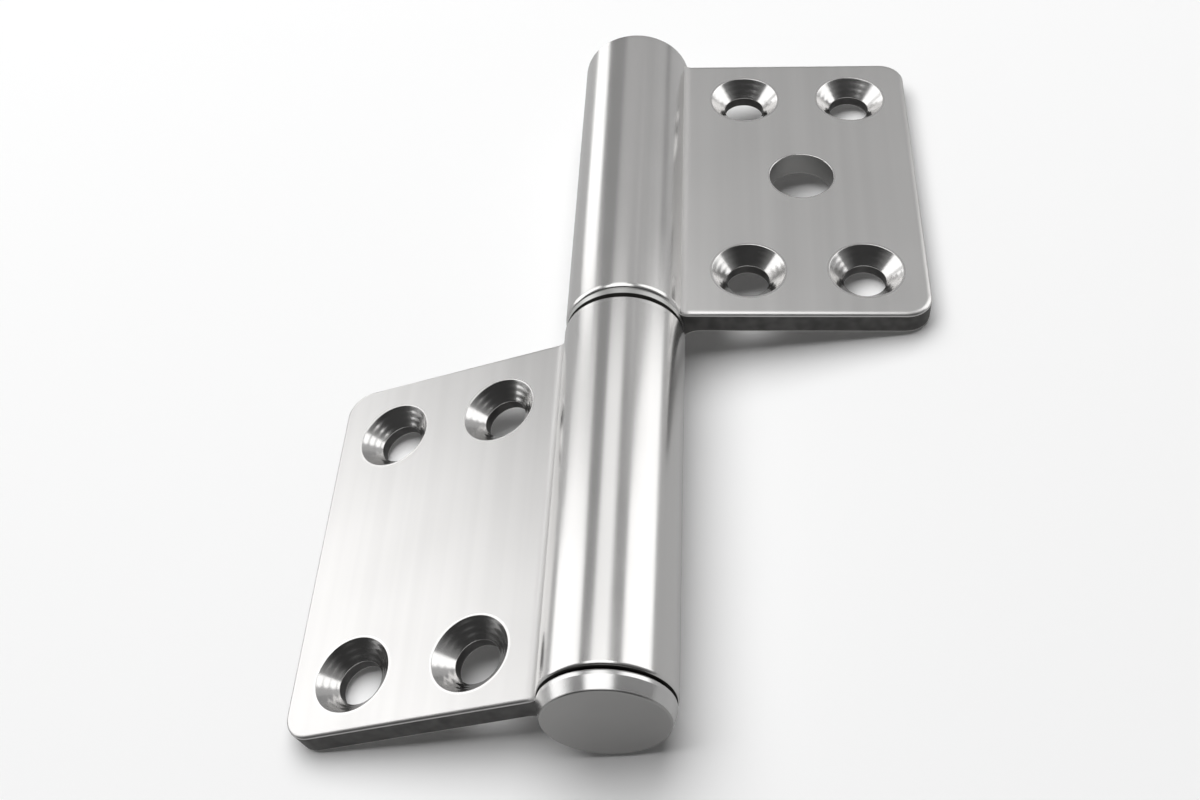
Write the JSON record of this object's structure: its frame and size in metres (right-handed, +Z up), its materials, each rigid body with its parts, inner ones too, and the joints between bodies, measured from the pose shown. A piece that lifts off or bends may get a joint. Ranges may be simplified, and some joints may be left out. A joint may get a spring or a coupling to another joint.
{
  "type": "lift off hinge",
  "caption": "Stainless lift-off hinge: two flag leaves with countersunk screw holes on a straight pin, with a thrust washer between the knuckles and a round end cap.",
  "frame": {"origin": "middle of the lower leaf's four screw holes, on its back face", "axes": "+Z up along the pin from the lower knuckle to the upper one, +Y out of the lower leaf's back face, -X towards the lower leaf's outer edge"},
  "size_m": [0.0896, 0.0259, 0.1266],
  "materials": {
    "satin_steel": "satin, brushed along the pin",
    "ground_steel": "ground and bright",
    "washer_steel": "turned, dull",
    "turned_steel": "turned face, polished rim"
  },
  "bodies": {
    "lower": {"lower_leaf": "satin_steel", "hinge_pin": "ground_steel", "end_cap": "turned_steel"},
    "washer": {"thrust_washer": "washer_steel"},
    "upper": {"upper_leaf": "satin_steel"}
  },
  "joints": [
    {"name": "swing", "type": "hinge", "parent": "lower", "child": "washer", "pos_m": [0.0275, -0.001, 0.03275], "axis": [0, 0, -1], "continuous": true},
    {"name": "lift_off", "type": "slide", "parent": "washer", "child": "upper", "axis": [0, 0, 1], "range_m": [0, 0.046]}
  ]
}
